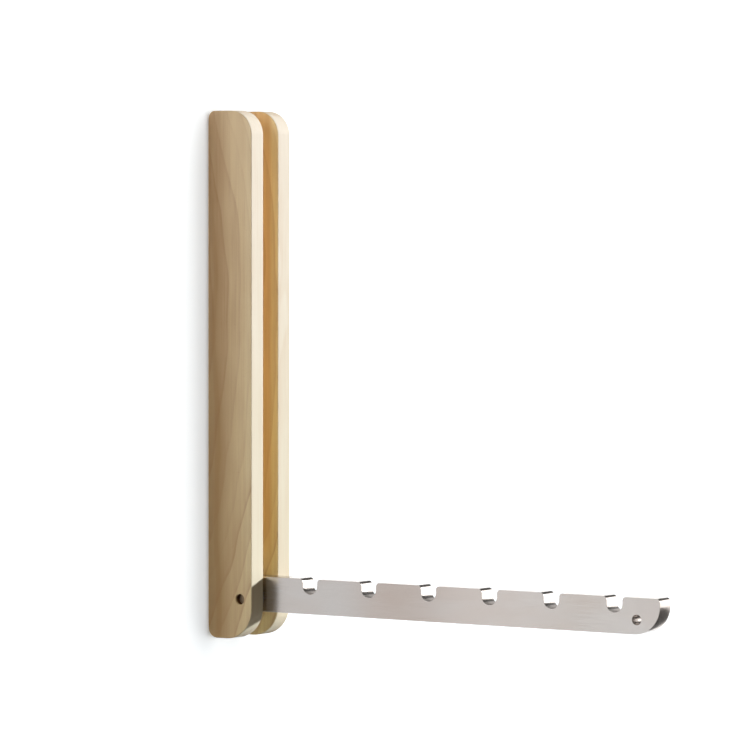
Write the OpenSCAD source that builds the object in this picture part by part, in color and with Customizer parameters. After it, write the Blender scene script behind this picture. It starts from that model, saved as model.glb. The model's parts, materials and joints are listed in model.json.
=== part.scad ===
// Wall hook: a slotted wooden block with a notched steel arm that folds up into the slot.
// Millimetres. The wall is the plane Y = 0 and the hook stands out from it along -Y, with +Z up.
// X = 0 is the middle of the slot, and Z = 0 is midway between the two wall screws.

/* [Wooden block] */
// Height of the block
block_h = 300; // [270:1:420]
// Width of the block across the two cheeks
block_w = 38; // [34:0.5:60]
// Depth of the block from the wall to its front face
block_d = 30; // [27:0.5:45]
// Thickness of the web that joins the cheeks behind the slot
web_t = 8; // [6:0.25:10]
// Radius of the top front corner
top_front_r = 14; // [2:0.5:18]
// Radius of the bottom front corner
bottom_front_r = 17.5; // [2:0.5:18]
// Radius of the top corner against the wall
top_back_r = 4; // [1:0.5:6]
// Radius of the bottom corner against the wall
bottom_back_r = 5.5; // [1:0.5:6]

/* [Arm] */
// Thickness of the flat bar
arm_t = 11.5; // [8:0.5:14]
// Height of the flat bar
arm_h = 20; // [18:0.5:22]
// Space left in the slot above the tip when the arm is folded
tip_clear = 9.7; // [3:0.1:30]
// Radius of the upper corner at the tip
tip_top_r = 2; // [0.5:0.5:4]
// Radius of the lower corner at the tip, the finger hold when the arm is folded
tip_low_r = 16; // [4:0.5:17]
// Radius of the lower corner at the heel
heel_low_r = 4; // [1:0.25:5]

/* [Notches] */
// Width of a notch
notch_w = 10; // [6:0.5:14]
// Depth of a notch below the arm's upper edge
notch_depth = 8.7; // [7.5:0.1:11]
// Radius of the two lips of a notch
notch_lip_r = 2; // [0.5:0.25:3]
// Distance from one notch to the next
notch_pitch = 40; // [24:1:80]
// Distance from the wall to the first notch
first_notch = 61; // [48:1:90]
// Least distance from the last notch to the tip
last_land = 24; // [20:1:60]

/* [Tip hole] */
// Diameter of the hole near the tip
tip_hole_d = 5.6; // [3:0.1:8]
// Distance from the tip to the hole
tip_hole_in = 14.5; // [10:0.5:20]
// Height of the hole above the arm's lower edge
tip_hole_up = 8; // [6:0.5:12]

/* [Pivot] */
// Distance from the wall to the pivot
pivot_out = 22; // [20:0.25:24]
// Height of the pivot above the foot of the block
pivot_up = 22.8; // [20:0.1:26]
// Diameter of the pin
pin_d = 6; // [4:0.5:7]
// Depth at which the pin lies below the face of the left cheek
pin_recess = 3.5; // [1:0.25:6]
// Wood left beyond the blind end of the pin's hole in the right cheek
pin_skin = 3.5; // [2:0.25:6]
// Bevel on the pin's two ends
pin_bevel = 0.4; // [0.2:0.1:0.8]
// Wall of the bush
bush_wall = 1.5; // [1:0.1:2]
// Outer diameter of a side washer
washer_d = 13; // [12:0.5:14]
// Thickness of a side washer
washer_t = 1.4; // [0.8:0.1:2]

/* [Stop and pad] */
// Thickness of the stop plate, which is also the height of the pad
stop_t = 1.5; // [1.3:0.1:2.5]
// Height of the stop plate, centred on the pivot
stop_h = 36; // [34:0.5:38]
// Radius of the stop plate's corners
stop_corner_r = 1.5; // [0.5:0.25:3]
// Gap between the stop plate and each cheek
stop_side_gap = 0.75; // [0.3:0.05:1.5]
// Diameter of the stop plate's screws
stop_screw_d = 3; // [2.5:0.1:3.5]
// Head diameter of the stop plate's screws
stop_head_d = 5.4; // [4.8:0.1:5.8]
// Length of the stop plate's screws
stop_screw_l = 7; // [5:0.25:7.25]
// Distance of each screw from the stop plate's end
stop_screw_in = 4.5; // [4:0.25:6]
// Diameter of the rest pad
pad_d = 11; // [6:0.5:13]
// Radius of the rest pad's rim
pad_rim_r = 0.6; // [0.2:0.1:1.2]
// Distance from the folded tip down to the middle of the rest pad
pad_below_tip = 11.5; // [9:0.5:14]

/* [Wall screws] */
// Distance from each end of the block to its wall screw
wall_hole_in = 50; // [47:1:70]
// Diameter of a wall screw's hole
wall_hole_d = 5; // [3.5:0.1:6]
// Diameter of the countersink for a wall screw's head
wall_head_d = 10; // [7.5:0.5:11]

/* [Clearances] */
// Radial running clearance between the bush and the pin
run_gap = 0.05; // [0.01:0.01:0.1]
// Radial clearance of a pin, screw or bush in its seat
seat_gap = 0.02; // [0.01:0.01:0.05]
// Gap between the arm and each side washer
side_gap = 0.1; // [0.05:0.05:0.3]
// Gap between the arm and its stop plate
stop_gap = 0.1; // [0.05:0.05:0.3]

/* [Hidden] */
$fn = 96;
// How far a cut runs past the face it opens
over = 1;
// Foot of the block, below the middle of the wall screws
foot = -block_h / 2;
slot_w = arm_t + 2 * (washer_t + side_gap);
// Distance of the web's front face and of the stop plate's face from the wall
stop_face = web_t + stop_t;
// The heel turns about the pivot just clear of the stop plate, and so does the notched edge
heel_r = pivot_out - stop_face - stop_gap;
arm_top = pivot_up + heel_r;
arm_low = arm_top - arm_h;
heel_end = pivot_out - heel_r;
// Folded, the arm stands on the pivot with its tip this high above the foot of the block
folded_tip = block_h - tip_clear;
arm_reach = pivot_out + folded_tip - pivot_up;
notch_count = floor((arm_reach - last_land - first_notch) / notch_pitch) + 1;
pin_r = pin_d / 2;
bush_r = pin_r + run_gap + bush_wall;
// The pin's hole runs from the left face to the skin of the right cheek
pin_hole_end = block_w / 2 - pin_skin;
stop_w = slot_w - 2 * stop_side_gap;
stop_screw_off = stop_h / 2 - stop_screw_in;
stop_pilot = stop_screw_l - stop_t + seat_gap;
// A screw's drive recess
drive_w = 0.7;
drive_l = 3.2;
drive_deep = 0.8;

// Takes a drawing of the side view, distance from the wall by height, and gives it the width w
module side_view(w) {
    translate([0, 0, foot])
        rotate([90, 0, -90])
            linear_extrude(height = w, center = true)
                children();
}

// What rounding takes off a square corner at the origin whose body lies towards +X and +Y
module corner_cut(r) {
    difference() {
        translate([-over, -over])
            square(r + over);
        translate([r, r])
            circle(r = r);
    }
}

// Puts a cylinder or washer drawn along +Z on the pivot's axis, starting at x and running along +X
module on_pivot(x) {
    translate([x, -pivot_out, foot + pivot_up])
        rotate([0, 90, 0])
            children();
}

// Puts a shape drawn along +Z on the wall screws' line, starting this far from the wall at height z
// and running towards the wall
module to_wall(from_wall, z) {
    translate([0, -from_wall, z])
        rotate([-90, 0, 0])
            children();
}

// A countersunk hole or screw body: its head's rim at the origin, its shank along +Z
module countersunk(head_d, shank_d, length) {
    head_l = (head_d - shank_d) / 2;
    cylinder(h = head_l, r1 = head_d / 2, r2 = shank_d / 2);
    cylinder(h = length, d = shank_d);
}

module stop_screw_places() {
    for (side = [-1, 1])
        to_wall(stop_face, foot + pivot_up + side * stop_screw_off)
            children();
}

module block_outline() {
    difference() {
        square([block_d, block_h]);
        corner_cut(bottom_back_r);
        translate([0, block_h])
            mirror([0, 1])
                corner_cut(top_back_r);
        translate([block_d, 0])
            mirror([1, 0])
                corner_cut(bottom_front_r);
        translate([block_d, block_h])
            mirror([0, 1])
                mirror([1, 0])
                    corner_cut(top_front_r);
    }
}

module wood_block() {
    color("burlywood")
        difference() {
            side_view(block_w)
                block_outline();
            // The slot, open at the front, top and bottom
            translate([-slot_w / 2, -block_d - over, foot - over])
                cube([slot_w, block_d + over - web_t, block_h + 2 * over]);
            // The pin's hole
            on_pivot(-block_w / 2 - over)
                cylinder(h = pin_hole_end + block_w / 2 + over, r = pin_r + seat_gap);
            // The wall screws' holes
            for (z = [foot + wall_hole_in, -foot - wall_hole_in])
                to_wall(web_t, z)
                    countersunk(wall_head_d, wall_hole_d, web_t + over);
            // The stop screws' pilot holes
            for (side = [-1, 1])
                to_wall(web_t + over, foot + pivot_up + side * stop_screw_off)
                    cylinder(h = stop_pilot + over, r = stop_screw_d / 2 + seat_gap);
        }
}

// One notch, its mouth's middle at the origin
module notch() {
    straight = notch_depth - notch_w / 2;
    translate([-notch_w / 2, -straight])
        square([notch_w, straight + over]);
    translate([0, -straight])
        circle(d = notch_w);
    for (side = [0, 1])
        mirror([side, 0])
            translate([notch_w / 2, 0])
                mirror([0, 1])
                    corner_cut(notch_lip_r);
}

module arm_outline() {
    difference() {
        translate([heel_end, arm_low])
            square([arm_reach - heel_end, arm_h]);
        translate([heel_end, arm_low])
            corner_cut(heel_low_r);
        translate([heel_end, arm_top])
            mirror([0, 1])
                corner_cut(heel_r);
        translate([arm_reach, arm_low])
            mirror([1, 0])
                corner_cut(tip_low_r);
        translate([arm_reach, arm_top])
            mirror([0, 1])
                mirror([1, 0])
                    corner_cut(tip_top_r);
        for (i = [0 : notch_count - 1])
            translate([first_notch + i * notch_pitch, arm_top])
                notch();
        translate([pivot_out, pivot_up])
            circle(r = bush_r + seat_gap);
        translate([arm_reach - tip_hole_in, arm_low + tip_hole_up])
            circle(d = tip_hole_d);
    }
}

module swing_arm() {
    color("silver")
        side_view(arm_t)
            arm_outline();
}

module pivot_pin() {
    length = pin_hole_end - seat_gap + block_w / 2 - pin_recess;
    color("dimgray")
        on_pivot(-block_w / 2 + pin_recess) {
            cylinder(h = pin_bevel, r1 = pin_r - pin_bevel, r2 = pin_r);
            translate([0, 0, pin_bevel])
                cylinder(h = length - 2 * pin_bevel, r = pin_r);
            translate([0, 0, length - pin_bevel])
                cylinder(h = pin_bevel, r1 = pin_r, r2 = pin_r - pin_bevel);
        }
}

module pivot_bush() {
    color("goldenrod")
        on_pivot(-arm_t / 2)
            difference() {
                cylinder(h = arm_t, r = bush_r);
                translate([0, 0, -over])
                    cylinder(h = arm_t + 2 * over, r = pin_r + run_gap);
            }
}

// A side washer, lying against the cheek that it starts from
module side_washer(x) {
    color("whitesmoke")
        on_pivot(x)
            difference() {
                cylinder(h = washer_t, d = washer_d);
                translate([0, 0, -over])
                    cylinder(h = washer_t + 2 * over, r = pin_r + run_gap);
            }
}

module washer_left() {
    side_washer(-slot_w / 2);
}

module washer_right() {
    side_washer(slot_w / 2 - washer_t);
}

module stop_plate() {
    color("gray")
        difference() {
            translate([0, -stop_face, foot + pivot_up])
                rotate([-90, 0, 0])
                    linear_extrude(height = stop_t)
                        difference() {
                            square([stop_w, stop_h], center = true);
                            for (turn = [0, 1], flip = [0, 1])
                                mirror([turn, 0])
                                    mirror([0, flip])
                                        translate([-stop_w / 2, -stop_h / 2])
                                            corner_cut(stop_corner_r);
                        }
            stop_screw_places()
                countersunk(stop_head_d + 2 * seat_gap, stop_screw_d + 2 * seat_gap, stop_t + over);
        }
}

module stop_screws() {
    color("lightgray")
        stop_screw_places()
            difference() {
                union() {
                    countersunk(stop_head_d, stop_screw_d, stop_screw_l - stop_screw_d / 2);
                    // The point
                    translate([0, 0, stop_screw_l - stop_screw_d / 2])
                        cylinder(h = stop_screw_d / 2, d1 = stop_screw_d, d2 = 0);
                }
                // The cross recess
                for (turn = [0, 90])
                    rotate([0, 0, turn])
                        translate([-drive_l / 2, -drive_w / 2, -over])
                            cube([drive_l, drive_w, over + drive_deep]);
            }
}

module rest_pad() {
    color("dimgray")
        to_wall(stop_face, foot + folded_tip - pad_below_tip)
            rotate_extrude()
                difference() {
                    square([pad_d / 2, stop_t]);
                    translate([pad_d / 2, 0])
                        mirror([1, 0])
                            corner_cut(pad_rim_r);
                }
}

wood_block();
swing_arm();
pivot_pin();
pivot_bush();
washer_left();
washer_right();
stop_plate();
stop_screws();
rest_pad();
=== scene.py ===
"""Looks of the wall hook: maple block, brushed steel arm, white wall and soft studio light.

Metres, in the part's own frame: the wall is y = 0, the front is towards -Y and +Z is up.
Inside the materials, positions are in millimetres in the same frame.
"""
import json
import math

import bmesh
import bpy
from mathutils import Matrix, Vector

MM = 0.001
WHITE = (1.0, 1.0, 1.0)
# The parts of a noise's range that hold nearly all of it, and its middle
WIDE = (0.3, 0.7)
MIDDLE = (0.35, 0.65)
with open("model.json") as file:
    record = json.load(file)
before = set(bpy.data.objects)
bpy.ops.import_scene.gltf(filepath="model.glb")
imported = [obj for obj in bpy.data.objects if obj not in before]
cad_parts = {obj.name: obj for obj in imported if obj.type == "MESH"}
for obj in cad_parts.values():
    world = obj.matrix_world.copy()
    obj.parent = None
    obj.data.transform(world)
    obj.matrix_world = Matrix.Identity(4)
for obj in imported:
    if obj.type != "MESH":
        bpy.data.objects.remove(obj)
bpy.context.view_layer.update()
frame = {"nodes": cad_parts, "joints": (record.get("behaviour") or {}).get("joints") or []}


# Materials are written as small node graphs; a Graph makes its nodes and joins them up.
class Graph:
    def __init__(self, name, world=None):
        if world is None:
            self.owner = bpy.data.materials.new(name)
        else:
            self.owner = world
        self.owner.use_nodes = True
        self.tree = self.owner.node_tree
        self.tree.nodes.clear()

    def put(self, socket, value):
        if isinstance(value, bpy.types.NodeSocket):
            self.tree.links.new(value, socket)
        elif value is not None:
            if isinstance(value, (tuple, list)) and len(value) == 3 and socket.type == "RGBA":
                value = (*value, 1.0)
            socket.default_value = value

    def node(self, kind, settings=None, **inputs):
        made = self.tree.nodes.new(kind)
        for key, value in (settings or {}).items():
            setattr(made, key, value)
        for key, value in inputs.items():
            self.put(made.inputs[key.replace("_", " ")], value)
        return made

    def math(self, operation, a, b=None, c=None, clamp=False):
        made = self.node("ShaderNodeMath", {"operation": operation, "use_clamp": clamp})
        for socket, value in zip(made.inputs, (a, b, c)):
            self.put(socket, value)
        return made.outputs[0]

    def times(self, first, *others):
        for other in others:
            first = self.math("MULTIPLY", first, other)
        return first

    def plus(self, first, *others):
        for other in others:
            first = self.math("ADD", first, other)
        return first

    def minus(self, a, b):
        return self.math("SUBTRACT", a, b)

    def most(self, a, b):
        return self.math("MAXIMUM", a, b)

    def magnitude(self, value):
        return self.math("ABSOLUTE", value)

    def distance(self, a, b):
        return self.math("SQRT", self.plus(self.times(a, a), self.times(b, b)))

    def vector(self, operation, a, b=None, scale=None):
        made = self.node("ShaderNodeVectorMath", {"operation": operation})
        self.put(made.inputs[0], a)
        self.put(made.inputs[1], b)
        if scale is not None:
            self.put(made.inputs["Scale"], scale)
        return made.outputs["Value" if operation == "LENGTH" else "Vector"]

    def split(self, vector):
        made = self.node("ShaderNodeSeparateXYZ", Vector=vector)
        return made.outputs[0], made.outputs[1], made.outputs[2]

    def join(self, x, y, z):
        return self.node("ShaderNodeCombineXYZ", X=x, Y=y, Z=z).outputs[0]

    def step(self, value, low, high, to_low=0.0, to_high=1.0):
        """A smooth step from to_low at low to to_high at high."""
        made = self.node("ShaderNodeMapRange", {"interpolation_type": "SMOOTHSTEP"}, Value=value)
        limits = {"From Min": low, "From Max": high, "To Min": to_low, "To Max": to_high}
        for key, number in limits.items():
            self.put(made.inputs[key], number)
        return made.outputs[0]

    def blend(self, factor, a, b, mode="MIX"):
        made = self.node("ShaderNodeMix", {"data_type": "RGBA", "blend_type": mode})
        self.put(made.inputs["Factor"], factor)
        self.put(made.inputs[6], a)
        self.put(made.inputs[7], b)
        return made.outputs[2]

    def noise(self, vector, scale=1.0, detail=2.0, roughness=0.5):
        made = self.node("ShaderNodeTexNoise", {"noise_dimensions": "3D"}, Vector=vector,
                         Scale=scale, Detail=detail, Roughness=roughness)
        return made.outputs[0]

    def grain(self, place, stretch, detail=2.0, roughness=0.5):
        """Noise with this many waves to the millimetre along x, y and z."""
        return self.noise(self.vector("MULTIPLY", place, stretch), 1.0, detail, roughness)

    def bump(self, height, strength, distance, normal=None):
        made = self.node("ShaderNodeBump", Strength=strength, Distance=distance, Height=height)
        if normal is not None:
            self.put(made.inputs["Normal"], normal)
        return made.outputs[0]

    def place(self):
        """Object coordinates in millimetres."""
        made = self.node("ShaderNodeTexCoord")
        return self.vector("SCALE", made.outputs["Object"], scale=1.0 / MM)

    def normal(self):
        """The object's own normal."""
        return self.node("ShaderNodeTexCoord").outputs["Normal"]

    def mirrored(self):
        """1 for the rays of the camera and of what mirrors or lets through, and 0 for the rest."""
        path = self.node("ShaderNodeLightPath").outputs
        return self.most(path["Is Camera Ray"],
                         self.most(path["Is Glossy Ray"], path["Is Transmission Ray"]))

    def finish(self, shader, kind="ShaderNodeOutputMaterial"):
        self.put(self.node(kind).inputs["Surface"], shader)
        return self.owner

    def principled(self, normal=None, **inputs):
        made = self.node("ShaderNodeBsdfPrincipled", None, **inputs)
        if normal is not None:
            self.put(made.inputs["Normal"], normal)
        return made.outputs[0]


def dress(node, material):
    """Gives a CAD node its finished material."""
    for slot in frame["nodes"][node].material_slots:
        slot.link = "OBJECT"
        slot.material = material


# Maple. The rings run round a pith behind the wall, and bow forward at one height.
# Where a normal's x or z makes a face one of the flat ones or end grain
FLAT_FACE = (0.35, 0.85)
END_FACE = (0.80, 0.99)
# The rings, and how far waves move them
PITH_X = 26.0
PITH_DEEP = -62.0
BOW_HEIGHT = 33.0
BOW = 0.00123
RING = 8.6
RING_WANDER = 16.0
RING_RIPPLE = 0.8
# Shares of a ring: its darkening, its dark line, and the pale start of the next one
RING_BODY = (0.10, 0.85)
RING_LINE = (0.74, 0.92)
RING_START = (1.0, 0.93)
# Waves to the millimetre along x, y and z
WANDER = (0.030, 0.030, 0.012)
RIPPLE = (0.35, 0.35, 0.04)
STREAK = (0.55, 0.55, 0.010)
FIBRE = (2.6, 2.6, 0.035)
STRAND = (7.0, 7.0, 0.22)
PORE = (5.5, 5.5, 0.55)
RAY = (1.9, 0.5, 1.1)
CLOUD = (0.09, 0.09, 0.022)
PORE_NOISE = (0.66, 0.76)
RAY_NOISE = (0.62, 0.74)
# How much each of them darkens the wood, from its palest to its darkest
BODY_TONE = (0.06, 0.20)
LINE_TONE = (0.06, 0.22)
STREAK_TONE = (0.30, 0.70, -0.05, 0.09)
FIBRE_TONE = (0.35, 0.70, -0.05, 0.10)
CLOUD_TONE = (0.30, 0.70, -0.06, 0.10)
PORE_TONE = 0.14
RAY_TONE = 0.06
# How much each of them stands out or lies deep
FIBRE_RELIEF = 0.5
STRAND_RELIEF = 0.35
PORE_RELIEF = 0.6
LINE_RELIEF = 0.25
WOOD_BUMP = (0.25, 0.12 * MM)
# Gloss
WOOD_ROUGHNESS = (0.3, 0.9, 0.50, 0.64)
TONE_ROUGHNESS = 0.3
WOOD_SPECULAR = 0.08
# Colours
SIDE_PALE = (0.95, 0.785, 0.54)
# The side towards its front edge: painted light, paler where more light reaches it
SIDE_RIM_PAINTED_LIGHT = (1.0, 0.85, 0.60)
SIDE_LINE = (0.53, 0.315, 0.175)
# Painted shade on the sides towards the wall
SIDE_WALL_SHADE = (0.59, 0.40, 0.23)
SIDE_STREAK = (0.50, 0.285, 0.145)
# The right cheek's outer face: painted shade
RIGHT_SIDE_PAINTED_SHADE = (0.80, 0.78, 0.76)
# The narrow faces: paler than the sides partly by grain and partly as painted light, washed out as
# under strong light
FACE_PALE_PAINTED_LIGHT = (0.865, 0.80, 0.69)
FACE_LINE = (0.70, 0.555, 0.385)
FOOT_TINT = (0.92, 0.935, 0.855)
END_TINT = (0.80, 0.70, 0.60)
# Inside the slot: painted shade deep in it and painted light where more light gets in
SLOT_PAINTED_SHADE = (0.87, 0.64, 0.36)
SLOT_PAINTED_LIGHT = (1.0, 0.86, 0.56)
# The pin's hole: painted shade, from its mouth to deep inside
HOLE_SHADE_MOUTH = (0.92, 0.88, 0.82)
HOLE_SHADE_DEEP = (0.12, 0.06, 0.03)
# Smooth steps: where each begins and ends in y, z or |x|, and for some the values there
# Where the painted light on the side towards its front edge comes in
RIM_PAINTED_LIGHT_Y = (-23.5, -28.0)
# Where the painted shade towards the wall lies
WALL_SHADE_WANDER = 14.0
WALL_SHADE_TOP_Z = (50.0, 150.0, 0.0, 7.0)
WALL_SHADE_WIDE_Y = (-25.0, -8.0, 0.0, 0.62)
WALL_SHADE_CORE_Y = (-12.0, -6.0, 0.0, 0.20)
WALL_SHADE_BACK_Y = (-7.0, -1.0, 0.0, 0.22)
STREAK_FRONT_Y = (-8.0, -6.0)
STREAK_BACK_Y = (-2.5, -4.5)
STREAK_SHARE = 0.22
SLOT_X = (8.2, 7.5)
# Where the slot's painted light comes in
SLOT_LIGHT_FRONT_Y = (-23.0, -26.5)
SLOT_LIGHT_LOW_Z = (-88.0, -110.0, 0.0, 0.6)
SLOT_LIGHT_FOOT_Z = (-133.0, -139.0)
FOOT_Z = (140.0, -150.0)
FAINT_TOP_Z = (108.0, 136.0)
FAINT_FRONT_Y = (-13.0, -21.0)
FAINT_SHARE = 0.7
END_SHARE = 0.45
# Where the right face's painted shade begins
RIGHT_PAINTED_SHADE_X = (18.0, 18.8)
BACK_Y = (-0.05, -0.01)
PIVOT_Y = -22.0
PIVOT_Z = -127.2
# Where the pin hole's painted shade lies
HOLE_SHADE_EDGE = (3.22, 3.06)
HOLE_SHADE_DEPTH_X = (18.7, 17.0)
HOLE_SHADE_END_X = (18.4, 18.2)


def maple():
    g = Graph("maple_finished")
    place = g.place()
    x, y, z = g.split(place)
    # The back, which touches the wall, keeps its flat normal up to its sharp corners
    back = g.step(y, *BACK_Y)
    facing = g.node("ShaderNodeNewGeometry").outputs
    flatter = g.vector("SUBTRACT", facing["True Normal"], facing["Normal"])
    base = g.vector("ADD", facing["Normal"], g.vector("SCALE", flatter, scale=back))
    nx, _, nz = g.split(g.vector("SCALE", g.normal(), scale=g.minus(1.0, back)))
    flat = g.step(g.magnitude(nx), *FLAT_FACE)
    end = g.step(g.magnitude(nz), *END_FACE)

    # The flat faces show the bowed figure, and the narrow ones straight grain
    rise = g.minus(z, BOW_HEIGHT)
    bow = g.times(rise, rise, BOW, flat)
    wander = g.grain(place, WANDER)
    ripple = g.grain(place, RIPPLE)
    moved = g.plus(g.times(wander, RING_WANDER), g.times(ripple, RING_RIPPLE))
    depth = g.plus(g.minus(bow, y), moved)
    ring = g.math("DIVIDE", g.distance(g.minus(x, PITH_X), g.minus(depth, PITH_DEEP)), RING)
    share = g.math("FRACT", ring)
    number = g.math("FLOOR", ring)
    each = g.node("ShaderNodeTexWhiteNoise", {"noise_dimensions": "1D"}, W=number).outputs[0]
    # A ring darkens slowly, ends in a thin line and starts pale again
    start = g.step(share, *RING_START)
    body = g.times(g.step(share, *RING_BODY), start)
    line = g.times(g.step(share, *RING_LINE), start)
    line_now = g.times(line, g.step(each, 0.0, 1.0, *LINE_TONE))
    body_now = g.times(body, g.step(each, 0.0, 1.0, *BODY_TONE))

    # Long fibres, the short pores between them, and the rays across them
    streak = g.grain(place, STREAK, detail=2.0, roughness=0.55)
    fibre = g.grain(place, FIBRE, detail=3.0, roughness=0.6)
    strand = g.grain(place, STRAND, detail=2.0, roughness=0.6)
    pore = g.step(g.grain(place, PORE, detail=1.0), *PORE_NOISE)
    ray = g.step(g.grain(place, RAY, detail=1.0), *RAY_NOISE)
    cloud = g.grain(place, CLOUD, detail=2.0, roughness=0.55)

    # The narrow faces are paler and the flat ones more saturated, partly by grain and partly as
    # painted light and shade; the sides also carry painted light towards their front edge
    pale = g.blend(flat, FACE_PALE_PAINTED_LIGHT, g.blend(g.step(y, *RIM_PAINTED_LIGHT_Y), SIDE_PALE, SIDE_RIM_PAINTED_LIGHT))
    dark = g.blend(flat, FACE_LINE, SIDE_LINE)
    # Painted shade towards the wall: the sides get warmer and darker near it, the band narrowing
    # near the top
    edge = g.plus(y, g.times(g.minus(wander, 0.5), WALL_SHADE_WANDER))
    edge = g.minus(edge, g.step(z, *WALL_SHADE_TOP_Z))
    wall_shade = g.plus(g.step(edge, *WALL_SHADE_WIDE_Y), g.step(edge, *WALL_SHADE_CORE_Y))
    wall_shade = g.minus(wall_shade, g.step(y, *WALL_SHADE_BACK_Y))
    pale = g.blend(g.times(wall_shade, flat), pale, SIDE_WALL_SHADE)
    red = g.times(g.step(edge, *STREAK_FRONT_Y), g.step(edge, *STREAK_BACK_Y))
    pale = g.blend(g.times(red, flat, STREAK_SHARE), pale, SIDE_STREAK)
    # The slot's faces are painted darker and more orange deep inside, as painted shade, and paler
    # towards the front, from just above the arm down and at the foot, as painted light
    slot = g.times(flat, g.step(g.magnitude(x), *SLOT_X))
    slot_light = g.most(g.step(y, *SLOT_LIGHT_FRONT_Y), g.step(z, *SLOT_LIGHT_LOW_Z))
    slot_light = g.most(slot_light, g.step(z, *SLOT_LIGHT_FOOT_Z))
    pale = g.blend(slot, pale, g.blend(slot_light, SLOT_PAINTED_SHADE, SLOT_PAINTED_LIGHT))
    pale = g.blend(g.step(z, *FOOT_Z), pale, g.blend(1.0, pale, FOOT_TINT, "MULTIPLY"))

    tone = g.plus(body_now, line_now, g.step(streak, *STREAK_TONE), g.step(fibre, *FIBRE_TONE),
                  g.step(cloud, *CLOUD_TONE), g.times(pore, PORE_TONE))
    tone = g.math("ADD", tone, g.times(ray, RAY_TONE), clamp=True)
    # The figure is faint in the cheeks' top front corner
    faint = g.times(g.step(z, *FAINT_TOP_Z), g.step(y, *FAINT_FRONT_Y), g.minus(flat, slot))
    tone = g.times(tone, g.math("MULTIPLY_ADD", faint, -FAINT_SHARE, 1.0))
    colour = g.blend(tone, pale, dark)
    colour = g.blend(g.times(end, END_SHARE), colour, END_TINT, "MULTIPLY")
    # The right cheek's outer face, which the main view doesn't show, is painted a shade darker:
    # painted shade, so the key light falling full on it doesn't wash it out
    colour = g.blend(g.times(flat, g.step(x, *RIGHT_PAINTED_SHADE_X)), colour, RIGHT_SIDE_PAINTED_SHADE, "MULTIPLY")
    # The pin's hole is painted dark inside, darker deeper in: painted shade in the hole, which
    # doesn't reach the right cheek's outer face
    off = g.distance(g.minus(y, PIVOT_Y), g.minus(z, PIVOT_Z))
    hole = g.blend(g.step(g.magnitude(x), *HOLE_SHADE_DEPTH_X), HOLE_SHADE_MOUTH, HOLE_SHADE_DEEP)
    drilled_shade = g.times(g.step(off, *HOLE_SHADE_EDGE), g.step(x, *HOLE_SHADE_END_X))
    colour = g.blend(drilled_shade, colour, hole, "MULTIPLY")

    height = g.plus(g.times(fibre, FIBRE_RELIEF), g.times(strand, STRAND_RELIEF))
    height = g.minus(height, g.times(pore, PORE_RELIEF))
    height = g.minus(height, g.times(line, LINE_RELIEF))
    rough = g.step(g.plus(fibre, g.times(tone, TONE_ROUGHNESS)), *WOOD_ROUGHNESS)
    return g.finish(g.principled(g.bump(height, *WOOD_BUMP, base), Base_Color=colour,
                                 Roughness=rough, Specular_IOR_Level=WOOD_SPECULAR))


# Steel and the small parts
STEEL = (0.575, 0.54, 0.52)
STEEL_WARM = (0.56, 0.51, 0.48)
PIN_STEEL = (0.42, 0.315, 0.22)
PIN_STEEL_DARK = (0.34, 0.25, 0.17)
# The pin's band of painted light
PIN_STEEL_PAINTED_LIGHT = (0.95, 0.74, 0.50)
PLATE_STEEL = (0.52, 0.51, 0.50)
PLATE_STEEL_DARK = (0.47, 0.455, 0.44)
# A drilled wall's painted shade
DRILLED_PAINTED_SHADE = (0.58, 0.55, 0.53)
BRONZE = (0.52, 0.33, 0.14)
BRONZE_DARK = (0.42, 0.25, 0.10)
NYLON = (0.74, 0.72, 0.66)
NYLON_DARK = (0.68, 0.66, 0.60)
RUBBER = (0.055, 0.053, 0.050)
RUBBER_DARK = (0.035, 0.034, 0.033)
# How far the roughness goes up and down from its middle, and what a drilled wall has at least
SPREAD = 0.06
DRILLED_ROUGHNESS = 0.26
# Brush marks, in waves to the millimetre along x, y and z, and what is finer or wider than them
ALONG_ARM = (9.0, 0.06, 9.0)
ROUND_PIN = (3.0, 9.0, 9.0)
UP_PLATE = (9.0, 9.0, 0.08)
FINER = (3.3, 3.3, 3.3)
SCRATCH_WIDER = 0.55
SCRATCH_SHIFT = (31.0, 17.0, 5.0)
SCRATCH_NOISE = (0.70, 0.78)
SLOW = (0.02, 0.016, 0.05)
# Their tones and relief
MARK_SHADE = (0.94, 1.03)
FINE_SHADE = 0.4
FINE_RELIEF = 0.3
SCRATCH_SHADE = 0.05
SCRATCH_RELIEF = 0.5
STEEL_BUMP = (0.10, 0.03 * MM)
GRIT_DISTANCE = 0.05 * MM
# Where a drilled wall and a worn bottom fade out, in millimetres, and what counts as facing up
# and as a cut edge, by the normal's z and x
DRILLED_EDGE = (0.15, 0.05)
WORN_EDGE = 0.2
FACING_UP = (0.62, 0.88)
CUT_X = (0.6, 0.3)
CUT_Z = (0.99, 0.90)
# The arm's hole with its painted shade, crowned edges, worn root and worn notches, and the pin's
# band of painted light
TIP_HOLE = (-275.0, -126.8, 2.8)
ARM_CROWN = (0.055, 5.75)
ARM_DULL = (-50.0, -36.0, 0.08)
NOTCHES_WORN = (-124.4, -117.8, 0.42)
PIN_PAINTED_LIGHT = (-22.5, -24.3, PIN_STEEL_PAINTED_LIGHT)


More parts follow.
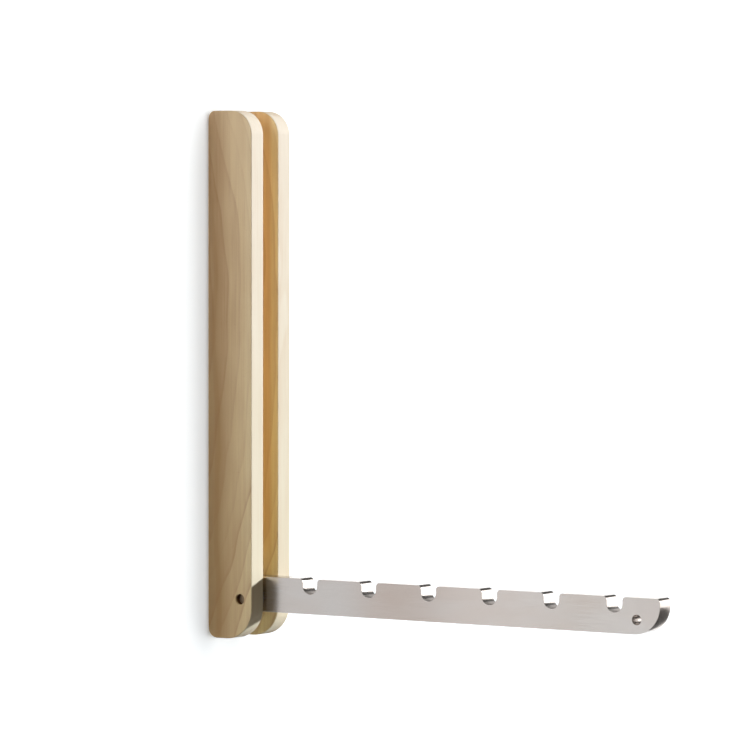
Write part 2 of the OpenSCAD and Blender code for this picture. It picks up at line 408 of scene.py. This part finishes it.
def brushed(name, colour, warm, stretch, roughness, drilled_shade=None, crown=None, dull=None,
            painted_light=None, worn=None):
    """Steel with brush marks of this many waves to the millimetre along x, y and z.
    drilled_shade is the (y, z, radius) of a hole whose wall is left rough and painted darker,
    painted shade. crown is how far the cut edges lean outwards at their rims, with the plate's
    half thickness. dull is the (y, y, roughness) of a worn end, and painted_light the (y, y, colour)
    of a band painted brighter, painted light. worn is the (lowest z, highest z, roughness) of the
    notches' bottoms, which hangers have worn matt."""
    g = Graph(name)
    place = g.place()
    marks = g.grain(place, stretch, detail=4.0, roughness=0.65)
    fine = g.grain(g.vector("MULTIPLY", place, stretch), FINER, detail=2.0, roughness=0.6)
    shifted = g.vector("ADD", place, SCRATCH_SHIFT)
    wider = tuple(s * SCRATCH_WIDER for s in stretch)
    scratch = g.step(g.grain(shifted, wider, detail=1.0), *SCRATCH_NOISE)
    slow = g.grain(place, SLOW)
    tint = g.blend(g.step(slow, *MIDDLE), colour, warm)
    shade = g.plus(g.times(marks, 1.0 - FINE_SHADE), g.times(fine, FINE_SHADE))
    shade = g.step(shade, *WIDE, *MARK_SHADE)
    shade = g.minus(shade, g.times(scratch, SCRATCH_SHADE))
    tint = g.vector("SCALE", tint, scale=shade)
    rough = g.step(marks, *WIDE, roughness - SPREAD, roughness + SPREAD)
    height = g.plus(g.times(marks, 1.0 - FINE_RELIEF), g.times(fine, FINE_RELIEF))
    height = g.minus(height, g.times(scratch, SCRATCH_RELIEF))
    x, y, z = g.split(place)
    nx, _, nz = g.split(g.normal())
    # A hole's wall is painted darker, as painted shade, and made rougher
    if drilled_shade is not None:
        hole_y, hole_z, radius = drilled_shade
        near = g.vector("LENGTH", g.join(0.0, g.minus(y, hole_y), g.minus(z, hole_z)))
        inside = g.step(near, *(radius + beyond for beyond in DRILLED_EDGE))
        tint = g.blend(inside, tint, DRILLED_PAINTED_SHADE, "MULTIPLY")
        rough = g.most(rough, g.times(inside, DRILLED_ROUGHNESS))
    # A band painted brighter: painted light
    if painted_light is not None:
        start, full, bright = painted_light
        tint = g.blend(g.step(y, start, full), tint, bright)
    if dull is not None:
        start, full, added = dull
        rough = g.plus(rough, g.step(y, start, full, 0.0, added))
    if worn is not None:
        lowest, highest, added = worn
        low = g.times(g.step(z, lowest - WORN_EDGE, lowest),
                      g.step(z, highest + WORN_EDGE, highest), g.step(nz, *FACING_UP))
        rough = g.plus(rough, g.times(low, added))
    base = None
    if crown is not None:
        lean, half = crown
        cut = g.times(g.step(g.magnitude(nx), *CUT_X), g.step(g.magnitude(nz), *CUT_Z))
        outward = g.join(g.times(x, lean / half, cut), 0.0, 0.0)
        upright = g.node("ShaderNodeNewGeometry").outputs["Normal"]
        base = g.vector("NORMALIZE", g.vector("ADD", upright, outward))
    return g.finish(g.principled(g.bump(height, *STEEL_BUMP, base), Base_Color=tint,
                                 Metallic=1.0, Roughness=rough))


def plain_grit(name, colour, other, metallic, roughness, scale, strength):
    """A fine-grained finish for the small parts: sintered bronze, moulded nylon and rubber.
    scale is the grit's waves to the millimetre, and strength how much it stands out."""
    g = Graph(name)
    place = g.place()
    grit = g.noise(place, scale, detail=3.0, roughness=0.6)
    patch = g.noise(place, scale=0.35)
    mixed = g.plus(g.times(grit, 0.6), g.times(patch, 0.4))
    tint = g.blend(g.step(mixed, *MIDDLE), colour, other)
    rough = g.step(grit, *WIDE, roughness - SPREAD, roughness + SPREAD)
    return g.finish(g.principled(g.bump(grit, strength, GRIT_DISTANCE), Base_Color=tint,
                                 Metallic=metallic, Roughness=rough))


dress("wood_block", maple())
dress("swing_arm", brushed("brushed_steel_finished", STEEL, STEEL_WARM, ALONG_ARM, 0.17,
                           drilled_shade=TIP_HOLE, crown=ARM_CROWN, dull=ARM_DULL, worn=NOTCHES_WORN))
dress("pivot_pin", brushed("pin_steel_finished", PIN_STEEL, PIN_STEEL_DARK, ROUND_PIN, 0.55,
                           painted_light=PIN_PAINTED_LIGHT))
plate = brushed("plate_steel_finished", PLATE_STEEL, PLATE_STEEL_DARK, UP_PLATE, 0.30)
bronze = plain_grit("bronze_finished", BRONZE, BRONZE_DARK, metallic=1.0, roughness=0.40,
                    scale=4.0, strength=0.2)
nylon = plain_grit("nylon_finished", NYLON, NYLON_DARK, metallic=0.0, roughness=0.42,
                   scale=3.0, strength=0.1)
rubber = plain_grit("pad_rubber_finished", RUBBER, RUBBER_DARK, metallic=0.0, roughness=0.66,
                    scale=5.0, strength=0.35)
for small_part, finish in (("stop_plate", plate), ("stop_screws", plate), ("pivot_bush", bronze),
                           ("washer_left", nylon), ("washer_right", nylon), ("rest_pad", rubber)):
    dress(small_part, finish)


# Eased edges
SNAP = 0.01 * MM
SHARP = math.radians(30)
FLAT_WITHIN = math.radians(1.0)
PIVOT = Vector(frame["joints"][0]["pos_m"])
PIN_HOLE_REACH = 3.3 * MM
BACK_SKIN = -0.001 * MM
SLOT_HALF = 7.2 * MM
BLOCK_HALF_HEIGHT = 150 * MM
BLOCK_END_NEAR = 1 * MM
PLATE_HALF_WIDTH = 6.5 * MM
PLATE_HALF_HEIGHT = 18 * MM
PLATE_NEAR = 1.6 * MM


def ends_key(ends):
    return frozenset(tuple(round(c / SNAP) for c in end) for end in ends)


def ease(node, width, segments=3, keep=None):
    """Rounds a CAD node's sharp outer edges with a bevel modifier.
    keep says, from the middle of an edge, whether that edge is rounded."""
    obj = frame["nodes"][node]
    joined = bmesh.new()
    joined.from_mesh(obj.data)
    bmesh.ops.remove_doubles(joined, verts=joined.verts, dist=SNAP)
    chosen = set()
    for edge in joined.edges:
        if len(edge.link_faces) != 2 or not edge.is_convex or edge.calc_face_angle() < SHARP:
            continue
        ends = [vert.co.copy() for vert in edge.verts]
        if keep is None or keep((ends[0] + ends[1]) / 2):
            chosen.add(ends_key(ends))
    joined.free()
    mesh = obj.data
    weight = mesh.attributes.new("bevel_weight_edge", "FLOAT", "EDGE")
    for edge in mesh.edges:
        key = ends_key([mesh.vertices[v].co for v in edge.vertices])
        weight.data[edge.index].value = 1.0 if key in chosen else 0.0
    mesh.shade_smooth()
    weld = obj.modifiers.new("weld", "WELD")
    weld.merge_threshold = SNAP
    merge = obj.modifiers.new("merge", "DECIMATE")
    merge.decimate_type = "DISSOLVE"
    merge.angle_limit = FLAT_WITHIN
    bevel = obj.modifiers.new("ease", "BEVEL")
    bevel.width = width
    bevel.segments = segments
    bevel.limit_method = "WEIGHT"
    bevel.use_clamp_overlap = False
    bevel.harden_normals = False
    weighted = obj.modifiers.new("normals", "WEIGHTED_NORMAL")
    weighted.keep_sharp = True
    weighted.weight = 100


def block_outline(point):
    """The cheeks' outlines and the block's two ends, but not the pin's hole or the back."""
    at_hole = math.hypot(point.y - PIVOT.y, point.z - PIVOT.z) <= PIN_HOLE_REACH
    if at_hole or point.y >= BACK_SKIN:
        return False
    return (abs(point.x) > SLOT_HALF
            or abs(abs(point.z) - BLOCK_HALF_HEIGHT) < BLOCK_END_NEAR)


def plate_outline(point):
    """The stop plate's four sides, but not its screw holes."""
    return (abs(abs(point.x) - PLATE_HALF_WIDTH) < PLATE_NEAR
            or abs(abs(point.z - PIVOT.z) - PLATE_HALF_HEIGHT) < PLATE_NEAR)


ease("wood_block", 0.6 * MM, segments=4, keep=block_outline)
ease("swing_arm", 0.2 * MM)
ease("stop_plate", 0.15 * MM, segments=2, keep=plate_outline)


# Camera, fitted to the photograph
EYE = Vector((-2.073183, -1.488893, 0.093049))
AIM = Vector((0.0, -0.101423, 0.001376))
ROLL = math.radians(0.0623)
camera = bpy.data.cameras.new("camera")
camera.lens = 213.83
camera.sensor_width = 36.0
camera.clip_end = 50.0
camera_object = bpy.data.objects.new("camera", camera)
bpy.context.scene.collection.objects.link(camera_object)
turn = (AIM - EYE).to_track_quat("-Z", "Y").to_matrix().to_4x4()
camera_object.matrix_world = Matrix.Translation(EYE) @ turn @ Matrix.Rotation(ROLL, 4, "Z")
bpy.context.scene.camera = camera_object


# The wall, the floor and the cards that the steel mirrors
def stage_mesh(name, corners, faces, material):
    """A piece of the studio, which isn't part of the object."""
    mesh = bpy.data.meshes.new(name)
    mesh.from_pydata(corners, [], faces)
    mesh.materials.append(material)
    obj = bpy.data.objects.new(name, mesh)
    bpy.context.scene.collection.objects.link(obj)
    return obj


def board(name, centre, across, up, width, height, material):
    """A flat sheet facing across x up."""
    across, up = Vector(across) * (width / 2), Vector(up) * (height / 2)
    corners = [Vector(centre) + across * sx + up * sy
               for sx, sy in ((-1, -1), (1, -1), (1, 1), (-1, 1))]
    return stage_mesh(name, corners, [(0, 1, 2, 3)], material)


# How far from the object the lift becomes full, in millimetres, and how faint the paint's grain is
FAR = (700.0, 1400.0)
SPECK_SHADE = 0.985


def backdrop(name, tone, lift, lift_colour=WHITE, painted_shadow_reach=None):
    """Matt paint with a faint grain. Camera and mirror rays see it lifted to white by lift, less so
    within painted_shadow_reach of an object, a painted contact shadow, and fully far from it, and
    its back can't be seen."""
    g = Graph(name)
    place = g.place()
    speck = g.noise(place, scale=0.4, detail=3.0, roughness=0.6)
    colour = g.blend(g.step(speck, *WIDE), (tone,) * 3, (tone * SPECK_SHADE,) * 3)
    grainy = g.bump(speck, 0.05, 0.2 * MM)
    matt = g.node("ShaderNodeBsdfDiffuse", Color=colour, Normal=grainy).outputs[0]
    seen = g.mirrored()
    strength = g.times(seen, lift)
    # Near an object the lift fades: a painted contact shadow
    if painted_shadow_reach is not None:
        shade = g.node("ShaderNodeAmbientOcclusion", {"samples": 8}, Distance=painted_shadow_reach)
        strength = g.times(strength, shade.outputs["AO"])
    distant = g.step(g.vector("LENGTH", place), *FAR)
    strength = g.most(strength, g.times(seen, distant))
    lift_colour = g.blend(distant, lift_colour, WHITE)
    front = g.node("ShaderNodeAddShader")
    g.put(front.inputs[0], matt)
    g.put(front.inputs[1], g.node("ShaderNodeEmission", Color=lift_colour,
                                  Strength=strength).outputs[0])
    behind = g.node("ShaderNodeNewGeometry").outputs["Backfacing"]
    mixed = g.node("ShaderNodeMixShader", Fac=behind)
    g.put(mixed.inputs[1], front.outputs[0])
    g.put(mixed.inputs[2], g.node("ShaderNodeBsdfTransparent").outputs[0])
    return g.finish(mixed.outputs[0])


WALL_GAP = 0.2 * MM
FLOOR_Z = -1.3
WALL_LIFT = (0.885, 0.96, 1.025)
wall = board("wall", (0, WALL_GAP, 0.7), (1, 0, 0), (0, 0, 1), width=12.0, height=4.0,
             material=backdrop("wall_paint", tone=0.90, lift=0.60, lift_colour=WALL_LIFT,
                               painted_shadow_reach=4.0 * MM))
floor = board("floor", (0, 0, FLOOR_Z), (1, 0, 0), (0, 1, 0), width=24.0, height=24.0,
              material=backdrop("floor_paint", tone=0.80, lift=0.95))


CARD_WHITE = (1.0, 0.99, 0.97)


def seen_in_steel(obj):
    """Leaves a card to the mirror rays alone."""
    for ray in ("camera", "diffuse", "transmission", "volume_scatter", "shadow"):
        setattr(obj, "visible_" + ray, False)
    return obj


def card_material(name, strength, direct=None):
    """A plain glow of this strength; direct is its strength where no matt surface lies between."""
    g = Graph(name)
    if direct is not None:
        bounces = g.node("ShaderNodeLightPath").outputs["Diffuse Depth"]
        strength = g.math("MULTIPLY_ADD", g.math("GREATER_THAN", bounces, 0.5),
                          strength - direct, direct)
    glow = g.node("ShaderNodeEmission", Color=CARD_WHITE, Strength=strength)
    return g.finish(glow.outputs[0])


# The middle of the arm, round which the cards stand, and how finely a card is bent
ARM_MIDDLE = Vector((0.0, -0.17, -0.12))
CARD_STEPS = 6


def towards(azimuth, elevation, distance=1.0):
    """A point this many degrees to the right of the front and above the horizon."""
    a, e = math.radians(azimuth), math.radians(elevation)
    unit = Vector((math.sin(a) * math.cos(e), -math.cos(a) * math.cos(e), math.sin(e)))
    return unit * distance


def card(name, distance, strength, outline, direct=None):
    """A curved card round the arm, seen only in mirror-like surfaces.
    outline has (azimuth, lowest elevation, highest elevation) from side to side, in degrees."""
    corners, faces = [], []
    row = CARD_STEPS + 1
    for (az0, low0, high0), (az1, low1, high1) in zip(outline, outline[1:]):
        for i in range(CARD_STEPS):
            start = len(corners)
            for t in (i / CARD_STEPS, (i + 1) / CARD_STEPS):
                az = az0 + (az1 - az0) * t
                low = low0 + (low1 - low0) * t
                high = high0 + (high1 - high0) * t
                corners += [ARM_MIDDLE + towards(az, low + (high - low) * k / CARD_STEPS, distance)
                            for k in range(row)]
            faces += [(start + k, start + k + 1, start + row + k + 1, start + row + k)
                      for k in range(CARD_STEPS)]
    return seen_in_steel(stage_mesh(name, corners, faces, card_material(name, strength, direct)))


card("white_card", 1.0, 2.2, [(34, -8, 22), (84, -8, 22), (84.1, -27, 22), (112, -27, 22)])
card("dark_card_high", 1.1, 0.14, [(30, 22, 50), (112, 22, 50)])
card("grey_card_high", 1.1, 0.40, [(30, 50, 75), (112, 50, 75)])
card("dark_card_low", 1.1, 0.11, [(42, -60, -8), (55, -60, -8), (62, -60, -13), (72, -60, -19),
                                  (86, -60, -28), (112, -60, -30)])
card("dark_card_front", 1.2, 0.09, [(-95, -60, 70), (-8, -60, 70)], 0.60)

WALL_CARD_Y = -6.0 * MM


def wall_card(name, corners, material):
    """A flat card just in front of the wall, seen only in mirror-like surfaces.
    corners are (x, z)."""
    points = [(x, WALL_CARD_Y, z) for x, z in corners]
    return seen_in_steel(stage_mesh(name, points, [(0, 1, 2, 3)], material))


# The wall in the arm's left face: its colours, and where along x each fades in and out
WALL_FAR = (1.08, 1.08, 1.08)
WALL_NEAR = (0.93, 0.95, 0.96)
WARM_NEAR = (0.85, 0.79, 0.75)
WARM_FAR = (0.95, 0.94, 0.91)
NEAR_IN = (-250.0, -205.0)
WARM_NEAR_IN = (-250.0, -195.0)
WARM_NEAR_OUT = (-118.0, -160.0)
WARM_FAR_IN = (-440.0, -395.0)
WARM_FAR_OUT = (-345.0, -385.0)


def warm_board():
    """The wall as the arm's left face mirrors it, a painted reflection: greyer near the block, with
    two warm darker patches of painted shade.
    """
    g = Graph("warm_board")
    x = g.split(g.place())[0]
    colour = g.blend(g.step(x, *NEAR_IN), WALL_FAR, WALL_NEAR)
    patch = g.times(g.step(x, *WARM_NEAR_IN), g.step(x, *WARM_NEAR_OUT))
    colour = g.blend(patch, colour, WARM_NEAR)
    patch = g.times(g.step(x, *WARM_FAR_IN), g.step(x, *WARM_FAR_OUT))
    colour = g.blend(patch, colour, WARM_FAR)
    return g.finish(g.node("ShaderNodeEmission", Color=colour, Strength=1.0).outputs[0])


wall_card("dark_card_wall", [(0.03, -0.109), (1.2, 0.127), (1.2, 1.4), (0.03, 1.4)],
          card_material("dark_card_wall", 0.14))
wall_card("white_strip_wall", [(0.0, -0.135), (1.2, -0.07), (1.2, 0.127), (0.0, -0.115)],
          card_material("white_strip_wall", 1.75))
wall_card("warm_board", [(-0.46, -0.32), (-0.03, -0.32), (-0.03, 0.0), (-0.46, 0.0)], warm_board())


# Lamps
def lamp(name, kind, strength, point, **settings):
    """A lamp at this point, which shines towards the origin."""
    data = bpy.data.lights.new(name, kind)
    data.energy = strength
    for key, value in settings.items():
        setattr(data, key, value)
    obj = bpy.data.objects.new(name, data)
    bpy.context.scene.collection.objects.link(obj)
    point = Vector(point)
    facing = point.to_track_quat("Z", "Y").to_matrix().to_4x4()
    obj.matrix_world = Matrix.Translation(point) @ facing
    obj.visible_camera = False
    return obj


def only(name, objects, state):
    """A light group that takes these objects in, or leaves them out."""
    group = bpy.data.collections.new(name)
    for obj in objects:
        group.objects.link(obj)
    for item in group.collection_objects:
        item.light_linking.link_state = state
    return group


KEY_STRENGTH = 4.06
FILL_WATTS = 3.4
WASH_WATTS = 124.0
REAR_STRENGTH = 0.8
key_lamp = lamp("key", "SUN", KEY_STRENGTH, towards(44, 15, 3.0), angle=math.radians(3.5))
key_lamp.light_linking.receiver_collection = only("not_the_backdrop", [wall, floor], "EXCLUDE")

fill_lamp = lamp("fill", "AREA", FILL_WATTS, towards(-87, 22, 1.05), shape="DISK", size=0.35,
                 color=(1.0, 0.91, 0.80))
fill_lamp.light_linking.receiver_collection = only("not_the_backdrop_fill", [wall, floor], "EXCLUDE")
fill_lamp.visible_glossy = False

wash_lamp = lamp("wall_wash", "AREA", WASH_WATTS, towards(33.3, 23, 3.0), shape="RECTANGLE",
                 size=2.37, size_y=6.84)
wash_lamp.light_linking.receiver_collection = only("the_wall", [wall], "INCLUDE")
wash_lamp.light_linking.blocker_collection = only(
    "not_the_arm", [frame["nodes"]["swing_arm"], floor], "EXCLUDE")
wash_lamp.visible_glossy = False

rear_lamp = lamp("rear", "SUN", REAR_STRENGTH, (0, 3, 0), angle=math.radians(20))
rear_lamp.light_linking.receiver_collection = only("not_the_backdrop_rear", [wall, floor], "EXCLUDE")
rear_lamp.light_linking.blocker_collection = only("no_wall_shadow", [wall, floor], "EXCLUDE")

AMBIENT = (0.082, 0.059, 0.030)
world = bpy.data.worlds.new("studio")
bpy.context.scene.world = world
sky = Graph("studio", world)
air = sky.blend(sky.mirrored(), AMBIENT, WHITE)
sky.finish(sky.node("ShaderNodeBackground", Color=air, Strength=1.0).outputs[0],
           "ShaderNodeOutputWorld")
world.cycles.sampling_method = "NONE"

bpy.context.scene.view_settings.view_transform = "Standard"
